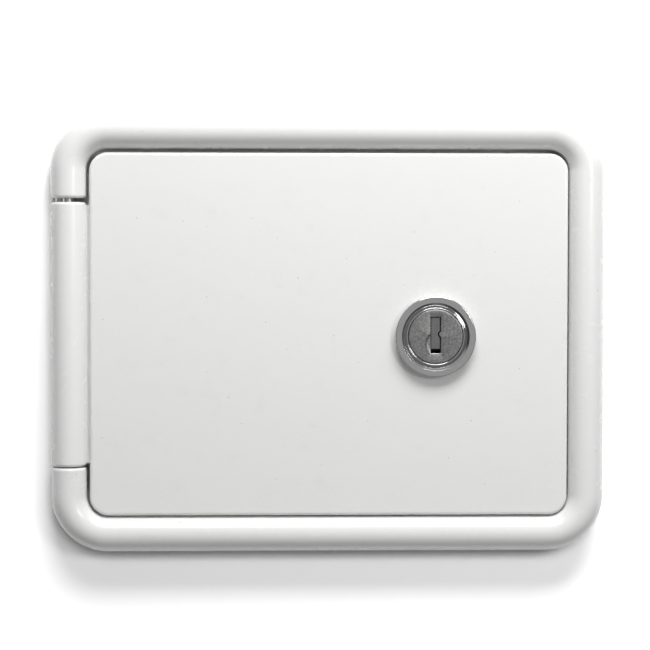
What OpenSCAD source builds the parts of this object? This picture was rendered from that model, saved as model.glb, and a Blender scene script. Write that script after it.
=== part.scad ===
// Water fill hatch for a caravan: a hollow half-round frame, a drop-in door whose
// hinge barrel completes the frame's rim, and a key-operated cam lock.
// Each piece is drawn lying on the wall, x to the right, y up and z out of the wall,
// and is then stood upright: X right, Z up, the front faces -Y, the wall is at Y = 0.

/* [Frame] */
// Width of the frame over its rim
frame_w = 153; // [145:1:180]
// Height of the frame over its rim
frame_h = 121; // [115:1:150]
// Width of the half-round rim
rim_w = 9.8; // [9.2:0.1:10.6]
// Height of the rim's centre line above the wall
rim_axis_h = 6.5; // [6.3:0.1:7.5]
// Radius of the rim's outer corners
rim_corner_r = 15.7; // [14.5:0.1:20]
// Wall thickness of the hollow rim
rim_wall = 2; // [1.5:0.1:2.4]
// Wanted spacing of the ribs across the hollow rim
rib_pitch = 20; // [15:1:30]
// Thickness of the ribs across the hollow rim
rib_t = 1.5; // [1:0.1:2]
// Thickness of the floor under the door's edge
floor_t = 2.4; // [2.2:0.1:2.8]
// Width of the gutter between the rim and the throat
gutter_w = 7.6; // [7.4:0.1:9]
// Wall thickness of the throat
throat_t = 1.6; // [1.2:0.1:2.2]
// Depth of the throat behind the wall's face
throat_depth = 16; // [15:1:30]
// Radius of the throat's inner corners
throat_corner_r = 4; // [3:0.5:8]
// Height of the throat's lip above the wall's face
lip_h = 4.2; // [3.8:0.1:4.6]

/* [Fixing screws] */
// Diameter of the four screw holes
screw_hole_d = 4; // [3.5:0.1:4.5]
// Diameter of the countersinks
sink_d = 7; // [6:0.1:7.2]
// Distance between the screw holes along the width
screw_span = 100; // [60:1:104]

/* [Hinge] */
// Distance from the frame's top and bottom to the gap in the rim for the hinge barrel
notch_inset = 23.4; // [22.6:0.1:36]
// Play at each end of the hinge barrel
barrel_play = 0.75; // [0.6:0.05:1.2]
// Diameter of the hinge pins
pin_d = 3; // [2.5:0.1:3.6]
// Length of each hinge pin
pin_l = 12; // [10:0.5:14]
// Length of each pin's seat in the end of the rim
seat_l = 6; // [5:0.5:7]
// Radial clearance of the pins in the barrel
pin_clear = 0.05; // [0.03:0.01:0.09]
// Depth left free beyond each pin in the barrel
pin_end_clear = 1; // [0.6:0.1:2]
// Thickness of the web behind the barrel
web_t = 1.3; // [1:0.1:1.4]
// Distance from the frame's outer edge to that web
web_inset = 1.1; // [0.6:0.1:2]
// Rounding at the ends of the barrel and of the rim beside it
end_r = 0.8; // [0.4:0.1:1.2]
// Depth of the groove between the barrel and the door's face
groove_depth = 1.8; // [1.4:0.1:2.4]

/* [Door] */
// Gap between the door's edge and the rim
door_gap = 0.7; // [0.6:0.05:1]
// How far the door hangs below the middle of the frame
door_drop = 0.4; // [0:0.05:0.5]
// How far the door sits to the right of the middle of the frame
door_shift = 0.2; // [0:0.05:0.4]
// Height of the door's face above the wall
face_h = 9.3; // [9:0.1:10.5]
// Thickness of the door's face
face_t = 3; // [2.5:0.1:3.2]
// Rounding of the door's front edge
face_edge_r = 0.9; // [0.5:0.1:1.4]
// Thickness of the skirt behind the door's edge
skirt_t = 1.8; // [1.4:0.1:2.2]
// Depth of that skirt
skirt_depth = 3; // [2.5:0.1:3.1]
// Distance from the door's edge to the skirt
skirt_inset = 0.5; // [0.3:0.1:0.9]
// Thickness of the stiffening ribs inside the door
door_rib_t = 1.5; // [1:0.1:2]
// Depth of the stiffening ribs inside the door
door_rib_depth = 2.5; // [1.5:0.1:3]
// Distance from the middle of the door to each long rib
long_rib_y = 19; // [17:1:26]
// Gap between the ribs' outer frame and the throat
door_rib_gap = 3.5; // [3:0.1:6]

/* [Seal] */
// Thickness of the seal's legs beside the lip
seal_leg_t = 0.8; // [0.6:0.1:1.2]
// Gap left between the seal's legs and the floor
seal_foot_gap = 0.3; // [0.2:0.1:0.6]
// Gap between the seal and the closed door
seal_gap = 0.05; // [0.05:0.05:0.3]
// Gap between the seal's legs and the lip
seal_fit = 0.05; // [0.02:0.01:0.1]

/* [Lock] */
// Distance from the middle of the door to the lock, to the right
lock_x = 29.2; // [24:0.1:32]
// Distance from the middle of the door to the lock, downwards
lock_y = 0.5; // [0:0.1:6]
// Diameter of the lock's ring
ring_d = 22.2; // [20:0.1:26]
// Height of the lock's ring above the door's face
ring_h = 2.6; // [2:0.1:4]
// Rounding of the ring's outer edge
ring_edge_r = 0.5; // [0.3:0.1:0.8]
// Width of the flat band round the ring's face
ring_band = 1.1; // [0.6:0.1:1.6]
// Width of the ring's inner lip
ring_lip = 0.5; // [0.4:0.1:0.7]
// Depth of the hollow between the band and the lip
ring_dish = 0.9; // [0.4:0.1:1.2]
// Diameter of the lock's threaded body
body_d = 19; // [17:0.5:20]
// Width of the lock's body across its flats
body_flats = 16; // [14.5:0.5:17]
// Clearance of the lock's body in the door
body_fit = 0.1; // [0.05:0.05:0.3]
// Diameter of the plug's face
plug_face_d = 15.1; // [13:0.1:15.6]
// Chamfer round the plug's face
plug_chamfer = 0.4; // [0.2:0.1:0.6]
// Thickness of the plug's head
plug_head_t = 3; // [2:0.1:4]
// How far the plug's face lies below the ring's band
plug_recess = 0.4; // [0.2:0.1:0.8]
// Diameter of the plug behind its head
plug_d = 12; // [10:0.5:13]
// Radial clearance of the plug in the lock's body
plug_clear = 0.05; // [0.03:0.01:0.09]
// Width of the key slot
slot_w = 2.8; // [2.4:0.1:3.2]
// Height of the key slot
slot_h = 10; // [8:0.1:10.4]
// Height of the key slot's middle above the plug's axis
slot_rise = 0.4; // [0:0.1:0.8]
// Depth of the key slot
slot_depth = 14; // [8:1:16]
// Size of the ward that stands into the key slot
ward = 0.5; // [0.3:0.1:0.8]
// Depth of the shutter behind the plug's face
shutter_depth = 0.7; // [0.5:0.1:1.5]
// Thickness of the shutter
shutter_t = 0.6; // [0.4:0.1:1]
// Gap round the shutter in the key slot
shutter_fit = 0.15; // [0.1:0.05:0.3]
// Length of the opening that the shutter leaves at the bottom of the key slot
shutter_short = 1.2; // [0.8:0.1:3]
// Width of the square end that carries the cam
tail_w = 7; // [6:0.1:7.6]
// Wall of the lock's nut between the thread and its flats
nut_rim = 1.5; // [1:0.1:3]
// Thickness of the lock's nut
nut_t = 3; // [2:0.1:4]
// Thickness of the boss between the door's face and the nut
boss_t = 4; // [3:0.1:6]
// Width of the boss round the lock's hole
boss_rim = 4; // [3:0.1:5]

/* [Cam] */
// Distance from the wall's face back to the strike that the cam catches
strike_depth = 8; // [7.5:0.1:9]
// Reach of the strike into the throat
strike_reach = 4.5; // [3.5:0.1:6]
// Width of the strike
strike_w = 16; // [10:1:24]
// Height of the strike's sloping root on the throat's wall
strike_root = 5; // [3:0.5:6]
// Thickness of the strike at its edge
strike_edge = 1.8; // [1.4:0.1:2.6]
// Gap between the cam and the strike
cam_gap = 0.4; // [0.2:0.05:0.6]
// Overlap of the cam's end behind the strike
cam_catch = 2.4; // [1.5:0.1:3.5]
// Thickness of the cam
cam_t = 2; // [1.5:0.1:2.5]
// Width of the cam
cam_w = 12; // [11:0.5:14]
// Width of the cam's round end about the plug
cam_hub_d = 16; // [15:0.5:18]
// Corner radius of the cam's tip
cam_tip_r = 2.5; // [1:0.5:4]
// Width of the cam screw's head across its flats
cam_screw_flats = 8; // [7:0.5:9]
// Height of the cam screw's head
cam_screw_head_t = 3.5; // [2.5:0.1:4]
// Diameter of the cam screw
cam_screw_d = 5; // [4:0.5:5.5]
// Length of the cam screw under its head
cam_screw_l = 8; // [6:0.5:10]

/* [Hidden] */
$fn = 64;

// Overlap that makes two joined shapes one, and the reach of a cut past a face
bite = 0.5;
rim_r = rim_w / 2;
axis_x = -frame_w / 2 + rim_r;
notch_l = frame_h - 2 * notch_inset;
stub_end = notch_l / 2;
seat_end = stub_end + seat_l;
throat_w = frame_w - 2 * (rim_w + gutter_w + throat_t);
throat_h = frame_h - 2 * (rim_w + gutter_w + throat_t);
lip_w = throat_w + 2 * throat_t;
lip_l = throat_h + 2 * throat_t;
lip_r = throat_corner_r + throat_t;
gutter_mid = rim_w + gutter_w / 2;
screw_rise = frame_h - 2 * gutter_mid;

door_w = frame_w - 2 * (rim_w + door_gap);
door_h = frame_h - 2 * (rim_w + door_gap);
door_r = rim_corner_r - rim_w - door_gap;
face_back = face_h - face_t;
skirt_foot = face_back - skirt_depth;
barrel_l = notch_l - 2 * barrel_play;
barrel_x = axis_x - door_shift;
bore_depth = pin_l - seat_l - barrel_play + door_drop + pin_end_clear;

lock_px = door_shift + lock_x;
lock_py = -door_drop - lock_y;
ring_top = face_h + ring_h;
plug_face = ring_top - plug_recess;
plug_head_back = plug_face - plug_head_t;
boss_back = face_back - boss_t;
boss_d = body_d + 2 * boss_rim;
cam_top = -strike_depth - cam_gap;
body_end = cam_top + cam_gap;
cam_l = throat_w / 2 - strike_reach + cam_catch - lock_px;
// Clearance of threads and of the cam's square hole, and of the plug's step on its seat
screw_fit = 0.05;
step_gap = 0.05;

// Stands a piece drawn on the wall upright
module upright() {
  rotate([90, 0, 0]) children();
}

// Moves a piece from the middle of the door to its place in the frame
module in_door() {
  translate([door_shift, -door_drop, 0]) children();
}

// Moves a piece to the lock's axis
module at_lock() {
  translate([lock_px, lock_py, 0]) children();
}

// A rectangle with round corners, about its middle
module rounded(w, h, r) {
  square([w - 2 * r, h], center = true);
  square([w, h - 2 * r], center = true);
  for (x = [-1, 1], y = [-1, 1]) {
    translate([x * (w / 2 - r), y * (h / 2 - r)]) circle(r);
  }
}

// A section laid out inwards from a border's edge, turned to a corner's axis
module from_corner(r) {
  translate([r, 0]) mirror([1, 0]) children();
}

// A straight stretch of border that runs back from a corner's axis
module straight(r, l) {
  rotate([90, 0, 0]) linear_extrude(l) from_corner(r) children();
}

// A border of one section round a rectangle, where sides says which stretches are made
module border(w, h, r, sides = [true, true, true, true]) {
  for (k = [0:3]) {
    across = k % 2 == 0 ? w : h;
    along = k % 2 == 0 ? h : w;
    rotate(90 * k) translate([across / 2 - r, along / 2 - r, 0]) {
      rotate_extrude(angle = 90) from_corner(r) children();
      if (sides[k]) straight(r, along - 2 * r) children();
    }
  }
}

// The rim's solid section, laid out inwards from the frame's edge
module dome(r, foot) {
  translate([rim_r, rim_axis_h]) circle(r);
  translate([rim_r - r, foot]) square([2 * r, rim_axis_h - foot]);
}

module rim_section() {
  difference() {
    dome(rim_r, 0);
    dome(rim_r - rim_wall, -1);
  }
}

// One rib across the hollow rim
module rim_rib() {
  rotate([90, 0, 0]) translate([0, 0, -rib_t / 2]) {
    linear_extrude(rib_t) dome(rim_r - rim_wall / 2, 0);
  }
}

// Evenly spaced ribs along a straight stretch of the rim
module rim_ribs(l, edge) {
  bays = floor(l / rib_pitch);
  for (i = [0:bays]) {
    translate([-edge, -l / 2 + i * l / bays, 0]) rim_rib();
  }
}

// Half of a rod's length section with a rounded corner, for turning about its axis
module rod_section(r, l) {
  square([r - end_r, l]);
  square([r, l - end_r]);
  translate([r - end_r, l - end_r]) circle(end_r);
}

// The end of the rim beside the barrel: solid, rounded and drilled for a pin
module rim_stub() {
  hollow = notch_inset - rim_corner_r - seat_l;
  difference() {
    union() {
      translate([axis_x, seat_end, rim_axis_h]) rotate([90, 0, 0]) intersection() {
        rotate_extrude() rod_section(rim_r, seat_l);
        translate([-rim_w, 0, 0]) cube([2 * rim_w, rim_w, seat_l]);
      }
      linear_extrude(rim_axis_h) translate([axis_x, seat_end]) mirror([0, 1]) {
        rod_section(rim_r, seat_l);
        mirror([1, 0]) rod_section(rim_r, seat_l);
      }
    }
    pin_hole(pin_d / 2, seat_end + bite, stub_end - bite);
  }
  translate([-frame_w / 2, seat_end + hollow, 0]) rotate([90, 0, 0]) {
    linear_extrude(hollow) rim_section();
  }
}

// A hole or a rod along the hinge's axis between two heights
module pin_hole(r, top, bottom) {
  translate([axis_x, top, rim_axis_h]) rotate([90, 0, 0]) cylinder(r = r, h = top - bottom);
}

// The floor of the gutter with the upstand and the throat that passes through the wall
module throat() {
  rim_in = rim_w - rim_wall / 2;
  linear_extrude(floor_t) difference() {
    rounded(frame_w - 2 * rim_in, frame_h - 2 * rim_in, rim_corner_r - rim_in);
    rounded(lip_w - bite, lip_l - bite, lip_r - bite / 2);
  }
  translate([0, 0, -throat_depth]) linear_extrude(throat_depth + lip_h) difference() {
    rounded(lip_w, lip_l, lip_r);
    rounded(throat_w, throat_h, throat_corner_r);
  }
}

// The wedge inside the throat that the cam catches
module strike() {
  inner = throat_w / 2 - strike_reach;
  root = throat_w / 2 + throat_t / 2;
  translate([0, lock_py + strike_w / 2, 0]) rotate([90, 0, 0]) linear_extrude(strike_w) {
    polygon([
      [inner, -strike_depth],
      [root, -strike_depth],
      [root, -strike_depth + strike_root],
      [throat_w / 2, -strike_depth + strike_root],
      [inner, -strike_depth + strike_edge]
    ]);
  }
}

module screw_hole() {
  sink = (sink_d - screw_hole_d) / 2;
  translate([0, 0, -bite]) cylinder(d = screw_hole_d, h = floor_t + 2 * bite);
  translate([0, 0, floor_t - sink]) {
    cylinder(r1 = screw_hole_d / 2, r2 = sink_d / 2 + bite, h = sink + bite);
  }
}

// The frame: hollow rim, gutter floor, throat, strike and the hinge's seats
module frame_moulding() {
  color("white") upright() difference() {
    union() {
      border(frame_w, frame_h, rim_corner_r, [true, true, false, true]) rim_section();
      rim_stub();
      mirror([0, 1, 0]) rim_stub();
      mirror([1, 0, 0]) rim_ribs(frame_h - 2 * rim_corner_r, frame_w / 2);
      for (turn = [90, -90]) {
        rotate(turn) rim_ribs(frame_w - 2 * rim_corner_r, frame_h / 2);
      }
      translate([-frame_w / 2 + web_inset, -stub_end - bite, 0]) {
        cube([rim_w - web_inset, notch_l + 2 * bite, web_t]);
      }
      throat();
      strike();
    }
    for (x = [-1, 1], y = [-1, 1]) {
      translate([x * screw_span / 2, y * screw_rise / 2, 0]) screw_hole();
    }
  }
}

// A steel pin through a seat of the frame into the barrel
module hinge_pin() {
  pin_hole(pin_d / 2, seat_end, seat_end - pin_l);
}

module hinge_pin_upper() {
  color("silver") upright() hinge_pin();
}

module hinge_pin_lower() {
  color("silver") upright() mirror([0, 1, 0]) hinge_pin();
}

// The rubber seal that straddles the throat's lip
module door_seal() {
  out = 2 * (seal_leg_t + seal_fit);
  foot = floor_t + seal_foot_gap;
  top = face_back - seal_gap;
  color("dimgray") upright() difference() {
    translate([0, 0, foot]) linear_extrude(top - foot) difference() {
      rounded(lip_w + out, lip_l + out, lip_r + out / 2);
      rounded(throat_w - out, throat_h - out, throat_corner_r - out / 2);
    }
    translate([0, 0, foot - bite]) linear_extrude(lip_h - foot + bite) difference() {
      rounded(lip_w + 2 * seal_fit, lip_l + 2 * seal_fit, lip_r + seal_fit);
      rounded(throat_w - 2 * seal_fit, throat_h - 2 * seal_fit, throat_corner_r - seal_fit);
    }
  }
}

// The section of the door's edge, laid out inwards
module face_edge() {
  square([face_edge_r + bite, face_t - face_edge_r]);
  translate([face_edge_r, 0]) square([bite, face_t]);
  translate([face_edge_r, face_t - face_edge_r]) circle(face_edge_r);
}

// The door's face with its rounded edge
module door_face() {
  flat_w = door_w - 2 * face_edge_r;
  flat_h = door_h - 2 * face_edge_r;
  border(door_w, door_h, door_r) face_edge();
  linear_extrude(face_t) rounded(flat_w, flat_h, door_r - face_edge_r);
}

// The upright rim behind the door's edge
module door_skirt() {
  w = door_w - 2 * skirt_inset;
  h = door_h - 2 * skirt_inset;
  r = door_r - skirt_inset;
  linear_extrude(skirt_depth + bite) difference() {
    rounded(w, h, r);
    rounded(w - 2 * skirt_t, h - 2 * skirt_t, r - skirt_t);
  }
}

// The stiffening ribs inside the door: a frame with two long and four short ribs
module door_ribs() {
  w = throat_w - 2 * door_rib_gap;
  h = throat_h - 2 * door_rib_gap;
  linear_extrude(door_rib_depth + bite) {
    difference() {
      rounded(w, h, throat_corner_r);
      rounded(w - 2 * door_rib_t, h - 2 * door_rib_t, throat_corner_r - door_rib_t);
    }
    for (y = [-1, 1]) {
      translate([0, y * long_rib_y]) square([w - door_rib_t, door_rib_t], center = true);
    }
    for (x = [-w / 4, 0]) {
      translate([x, 0]) square([door_rib_t, h - door_rib_t], center = true);
    }
  }
}

// The round barrel with its bores, and the arm that carries it
module door_barrel() {
  arm_l = barrel_l - 2 * end_r;
  reach = -door_w / 2 + skirt_inset + skirt_t - barrel_x;
  difference() {
    union() {
      translate([barrel_x, 0, rim_axis_h]) rotate([90, 0, 0]) {
        rotate_extrude() rod_section(rim_r, barrel_l / 2);
        mirror([0, 0, 1]) rotate_extrude() rod_section(rim_r, barrel_l / 2);
      }
      translate([barrel_x, -arm_l / 2, skirt_foot]) {
        cube([reach, arm_l, face_h - groove_depth - skirt_foot]);
      }
    }
    for (flip = [0, 1]) {
      mirror([0, flip, 0]) translate([barrel_x, barrel_l / 2 + bite, rim_axis_h]) {
        rotate([90, 0, 0]) cylinder(d = pin_d + 2 * pin_clear, h = bore_depth + bite);
      }
    }
  }
}

// The hole through the door that holds the lock's body by its flats
module body_outline(grow) {
  intersection() {
    circle(d = body_d + 2 * grow);
    square([body_d + 4 * grow, body_flats + 2 * grow], center = true);
  }
}

// The door: face, skirt, ribs, lock boss and hinge barrel in one moulding
module door() {
  color("whitesmoke") upright() in_door() difference() {
    union() {
      translate([0, 0, face_back]) door_face();
      translate([0, 0, skirt_foot]) door_skirt();
      translate([0, 0, face_back - door_rib_depth]) door_ribs();
      translate([lock_x, -lock_y, boss_back]) cylinder(d = boss_d, h = boss_t + bite);
      door_barrel();
    }
    translate([lock_x, -lock_y, boss_back - bite]) {
      linear_extrude(boss_t + face_t + 2 * bite) body_outline(body_fit);
    }
  }
}

// The ring's section: a flat band, a hollow inside it and a lip round the plug
module ring_section() {
  ring_r = ring_d / 2;
  band_r = ring_r - ring_edge_r - ring_band;
  lip_r = plug_face_d / 2 + plug_clear + ring_lip;
  polygon([
    [0, face_h],
    [ring_r, face_h],
    [ring_r, ring_top - ring_edge_r],
    [ring_r - ring_edge_r, ring_top - ring_edge_r],
    [ring_r - ring_edge_r, ring_top],
    [band_r, ring_top],
    [lip_r + ring_lip / 2, ring_top - ring_dish],
    [lip_r, ring_top - ring_dish],
    [lip_r - ring_lip / 2, ring_top - ring_dish + ring_lip],
    [0, ring_top - ring_dish + ring_lip]
  ]);
  translate([ring_r - ring_edge_r, ring_top - ring_edge_r]) circle(ring_edge_r);
}

// The lock's chromed ring and threaded body
module lock_housing() {
  mouth_r = plug_face_d / 2 + plug_clear;
  color("silver") upright() at_lock() difference() {
    union() {
      rotate_extrude() ring_section();
      translate([0, 0, body_end]) linear_extrude(face_h - body_end + bite) body_outline(0);
    }
    translate([0, 0, plug_head_back - step_gap]) cylinder(r = mouth_r, h = plug_face);
    translate([0, 0, body_end - bite]) {
      cylinder(r = plug_d / 2 + plug_clear, h = face_h - body_end);
    }
  }
}

module lock_nut() {
  color("silver") upright() at_lock() translate([0, 0, boss_back - nut_t]) difference() {
    cylinder(d = (body_d + 2 * nut_rim) / cos(30), h = nut_t, $fn = 6);
    translate([0, 0, -bite]) cylinder(r = body_d / 2 + screw_fit, h = nut_t + 2 * bite);
  }
}

// The key slot, where gap draws its outline in: a straight slot with a small ward at the right
module key_slot(gap = 0) {
  w = slot_w / 2 - gap;
  h = slot_h / 2 - gap;
  translate([0, slot_rise]) polygon([
    [-w, -h], [w, -h], [w, -ward], [w - ward, 0], [w - ward, ward], [w, 2 * ward],
    [w, h], [-w, h]
  ]);
}

// The turning plug with its key slot and the square end for the cam
module lock_plug() {
  color("lightgray") upright() at_lock() difference() {
    union() {
      translate([0, 0, plug_head_back]) cylinder(d = plug_face_d, h = plug_head_t - plug_chamfer);
      translate([0, 0, plug_face - plug_chamfer]) {
        cylinder(d1 = plug_face_d, d2 = plug_face_d - 2 * plug_chamfer, h = plug_chamfer);
      }
      translate([0, 0, cam_top]) cylinder(d = plug_d, h = plug_head_back - cam_top + bite);
      translate([-tail_w / 2, -tail_w / 2, cam_top - cam_t]) cube([tail_w, tail_w, cam_t + bite]);
    }
    translate([0, 0, plug_face - slot_depth]) linear_extrude(slot_depth + bite) key_slot();
    translate([0, 0, cam_top - cam_t - bite]) {
      cylinder(r = cam_screw_d / 2 + screw_fit, h = cam_screw_l + 2 * bite);
    }
  }
}

// The sprung shutter that closes the key slot against dust
module key_shutter() {
  color("gray") upright() at_lock() translate([0, 0, plug_face - shutter_depth - shutter_t]) {
    linear_extrude(shutter_t) intersection() {
      key_slot(shutter_fit);
      translate([-slot_w / 2, slot_rise - slot_h / 2 + shutter_short]) {
        square([slot_w, slot_h - shutter_short]);
      }
    }
  }
}

// The straight cam, drawn unlocked with its tip upwards
module lock_cam() {
  tip = cam_l - cam_tip_r;
  side = cam_w / 2 - cam_tip_r;
  color("silver") upright() at_lock() translate([0, 0, cam_top - cam_t]) {
    linear_extrude(cam_t) difference() {
      union() {
        circle(d = cam_hub_d);
        translate([-cam_w / 2, 0]) square([cam_w, tip]);
        translate([-side, 0]) square([2 * side, cam_l]);
        for (x = [-side, side]) translate([x, tip]) circle(cam_tip_r);
      }
      square(tail_w + 2 * screw_fit, center = true);
    }
  }
}

// The screw that holds the cam
module cam_screw() {
  color("gray") upright() at_lock() translate([0, 0, cam_top - cam_t]) {
    cylinder(d = cam_screw_d, h = cam_screw_l);
    translate([0, 0, -cam_screw_head_t]) {
      cylinder(d = cam_screw_flats / cos(30), h = cam_screw_head_t, $fn = 6);
    }
  }
}

frame_moulding();
hinge_pin_upper();
hinge_pin_lower();
door_seal();
door();
lock_housing();
lock_nut();
lock_plug();
key_shutter();
lock_cam();
cam_screw();
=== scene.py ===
from math import asin, atan2, cos, degrees, pi, radians, sin

import bmesh
import bpy
from mathutils import Matrix, Vector


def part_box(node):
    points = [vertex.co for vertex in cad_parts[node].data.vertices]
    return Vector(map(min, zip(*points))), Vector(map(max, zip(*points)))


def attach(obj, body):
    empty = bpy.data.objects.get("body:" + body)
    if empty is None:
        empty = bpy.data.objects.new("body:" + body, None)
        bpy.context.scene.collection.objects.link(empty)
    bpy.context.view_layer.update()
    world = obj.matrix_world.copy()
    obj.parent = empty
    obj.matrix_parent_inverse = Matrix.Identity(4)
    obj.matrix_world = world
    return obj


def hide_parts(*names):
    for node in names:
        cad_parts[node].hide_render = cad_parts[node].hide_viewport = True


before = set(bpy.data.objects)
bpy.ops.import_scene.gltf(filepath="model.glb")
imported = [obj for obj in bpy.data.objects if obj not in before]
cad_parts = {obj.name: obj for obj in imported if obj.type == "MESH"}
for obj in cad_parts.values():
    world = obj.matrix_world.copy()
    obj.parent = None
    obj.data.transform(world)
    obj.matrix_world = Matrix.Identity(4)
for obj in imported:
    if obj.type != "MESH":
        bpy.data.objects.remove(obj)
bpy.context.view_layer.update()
scene = bpy.context.scene

# Pieces are drawn lying on the wall in millimetres: x to the right, y up, z out of the wall.
# The last step stands each one upright in metres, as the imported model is.
standUp = Matrix.Rotation(pi / 2, 4, "X") @ Matrix.Scale(0.001, 4)


def planBox(node):  # lowest and highest corner of a CAD node, in the drawing's millimetres
    low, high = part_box(node)
    return Vector((low.x, low.z, -high.y)) * 1000, Vector((high.x, high.z, -low.y)) * 1000


class Wire:  # a node's output that takes part in plain sums
    def __init__(self, tree, socket):
        self.tree = tree
        self.socket = socket

    def math(self, operation, first, second=0.0):
        return self.tree.add("ShaderNodeMath", {"operation": operation}, {0: first, 1: second})

    def __add__(self, other):
        return self.math("ADD", self, other)

    def __sub__(self, other):
        return self.math("SUBTRACT", self, other)

    def __rsub__(self, other):
        return self.math("SUBTRACT", other, self)

    def __mul__(self, other):
        return self.math("MULTIPLY", self, other)

    def __truediv__(self, other):
        return self.math("DIVIDE", self, other)

    def __rtruediv__(self, other):
        return self.math("DIVIDE", other, self)

    def __gt__(self, other):
        return self.math("GREATER_THAN", self, other)

    def __lt__(self, other):
        return self.math("LESS_THAN", self, other)

    __radd__ = __add__
    __rmul__ = __mul__


class Tree:  # writes nodes into a shader or a geometry tree
    def __init__(self, nodeTree):
        self.nodes = nodeTree.nodes
        self.links = nodeTree.links

    def feed(self, socket, value):
        if isinstance(value, Wire):
            self.links.new(value.socket, socket)
        else:
            socket.default_value = value

    def add(self, kind, settings=None, values=None, output=0):
        node = self.nodes.new(kind)
        for name, value in (settings or {}).items():
            if name == "stops":
                self.setRamp(node.color_ramp, value)
            else:
                setattr(node, name, value)
        for name, value in (values or {}).items():
            self.feed(node.inputs[name], value)
        return Wire(self, node.outputs[output])

    def setRamp(self, ramp, stops):
        while len(ramp.elements) < len(stops):
            ramp.elements.new(0.5)
        for element, (place, tone) in zip(ramp.elements, stops):
            element.position = place
            element.color = (tone, tone, tone, 1)

    def mixColor(self, factor, first, second):
        return self.add("ShaderNodeMix", {"data_type": "RGBA"}, {0: factor, 6: first, 7: second}, output=2)

    def noise(self, place, scale, detail=2.0, roughness=0.5):
        values = {"Vector": place, "Scale": scale, "Detail": detail, "Roughness": roughness}
        return self.add("ShaderNodeTexNoise", None, values)


# Mesh making

def meshObject(name, points, faces):
    mesh = bpy.data.meshes.new(name)
    mesh.from_pydata([tuple(p) for p in points], [], faces)
    made = bpy.data.objects.new(name, mesh)
    scene.collection.objects.link(made)
    return made


def bake(piece):  # turns the result of a piece's modifiers into its plain mesh
    evaluated = piece.evaluated_get(bpy.context.evaluated_depsgraph_get())
    result = bpy.data.meshes.new_from_object(evaluated)
    piece.modifiers.clear()
    old = piece.data
    piece.data = result
    bpy.data.meshes.remove(old)
    return piece


def tidyShell(piece, distance=0.0005):  # merges doubles and points the faces outwards
    work = bmesh.new()
    work.from_mesh(piece.data)
    bmesh.ops.remove_doubles(work, verts=work.verts, dist=distance)
    bmesh.ops.dissolve_degenerate(work, dist=distance, edges=work.edges)
    bmesh.ops.recalc_face_normals(work, faces=work.faces)
    if work.calc_volume(signed=True) < 0:
        bmesh.ops.reverse_faces(work, faces=work.faces)
    work.to_mesh(piece.data)
    work.free()
    return piece


def loft(name, rings):  # a closed solid through rings of equal length, with flat ends
    count = len(rings[0])
    points = [p for ring in rings for p in ring]
    faces = [list(range(count)), list(range(len(points) - count, len(points)))[::-1]]
    for i in range(len(rings) - 1):
        for k in range(count):
            a, b = i * count + k, i * count + (k + 1) % count
            faces.append([b, a, a + count, b + count])
    return tidyShell(meshObject(name, points, faces))


def lathe(name, profile, steps=96):  # turns a closed (radius, height) outline about the z axis
    turns = [2 * pi * k / steps for k in range(steps)]
    rings = [[(r * cos(t), r * sin(t), z) for t in turns] for r, z in profile]
    count, rows = steps, len(rings)
    points = [p for ring in rings for p in ring]
    faces = []
    for i in range(rows):
        for k in range(count):
            j, n = (i + 1) % rows, (k + 1) % count
            faces.append([i * count + k, i * count + n, j * count + n, j * count + k])
    return tidyShell(meshObject(name, points, faces))


def arc(x, y, r, start, end, steps=8):  # points of an arc, angles in degrees
    turns = [radians(start + (end - start) * k / steps) for k in range(steps + 1)]
    return [(x + r * cos(t), y + r * sin(t)) for t in turns]


def roundedRing(w, h, r, z, steps=16):  # a rectangle with round corners at one height
    corners = [(w / 2 - r, h / 2 - r, 0), (r - w / 2, h / 2 - r, 90),
               (r - w / 2, r - h / 2, 180), (w / 2 - r, r - h / 2, 270)]
    return [(x, y, z) for cx, cy, turn in corners for x, y in arc(cx, cy, r, turn, turn + 90, steps)]


def block(name, low, high):
    ring = [(low[0], low[1]), (high[0], low[1]), (high[0], high[1]), (low[0], high[1])]
    return loft(name, [[(x, y, z) for x, y in ring] for z in (low[2], high[2])])


def place(piece, matrix):
    piece.data.transform(matrix)
    return piece


def combine(base, tool, operation="UNION"):  # joins or cuts a solid with another, which is used up
    joined = base.modifiers.new("Boolean", "BOOLEAN")
    joined.operation = operation
    joined.solver = "MANIFOLD"
    joined.object = tool
    bake(base)
    bpy.data.objects.remove(tool)
    return base


def cutAway(base, tool):
    return combine(base, tool, "DIFFERENCE")


def soften(piece, width, angle=40):  # rounds a small piece's sharp edges
    bevel = piece.modifiers.new("Bevel", "BEVEL")
    bevel.width = width
    bevel.segments = 2
    bevel.angle_limit = radians(angle)
    return bake(piece)


def profileCurve(points, closed=True):  # an outline that a sweep carries round a border
    curve = bpy.data.curves.new("Outline", "CURVE")
    curve.dimensions = "3D"
    line = curve.splines.new("POLY")
    line.points.add(len(points) - 1)
    for spot, (x, y) in zip(line.points, points):
        spot.co = (-x, -y, 0, 1)
    line.use_cyclic_u = closed
    made = bpy.data.objects.new("Outline", curve)
    scene.collection.objects.link(made)
    return made


def geometryTree(name, inputs):  # an empty geometry tree with named inputs
    group = bpy.data.node_groups.new(name, "GeometryNodeTree")
    wires = {}
    for label, kind in inputs.items():
        group.interface.new_socket(name=label, in_out="INPUT", socket_type="NodeSocket" + kind)
    group.interface.new_socket(name="Geometry", in_out="OUTPUT", socket_type="NodeSocketGeometry")
    tree = Tree(group)
    entry = tree.nodes.new("NodeGroupInput")
    for label in inputs:
        wires[label] = Wire(tree, entry.outputs[label])
    return group, tree, wires


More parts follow.
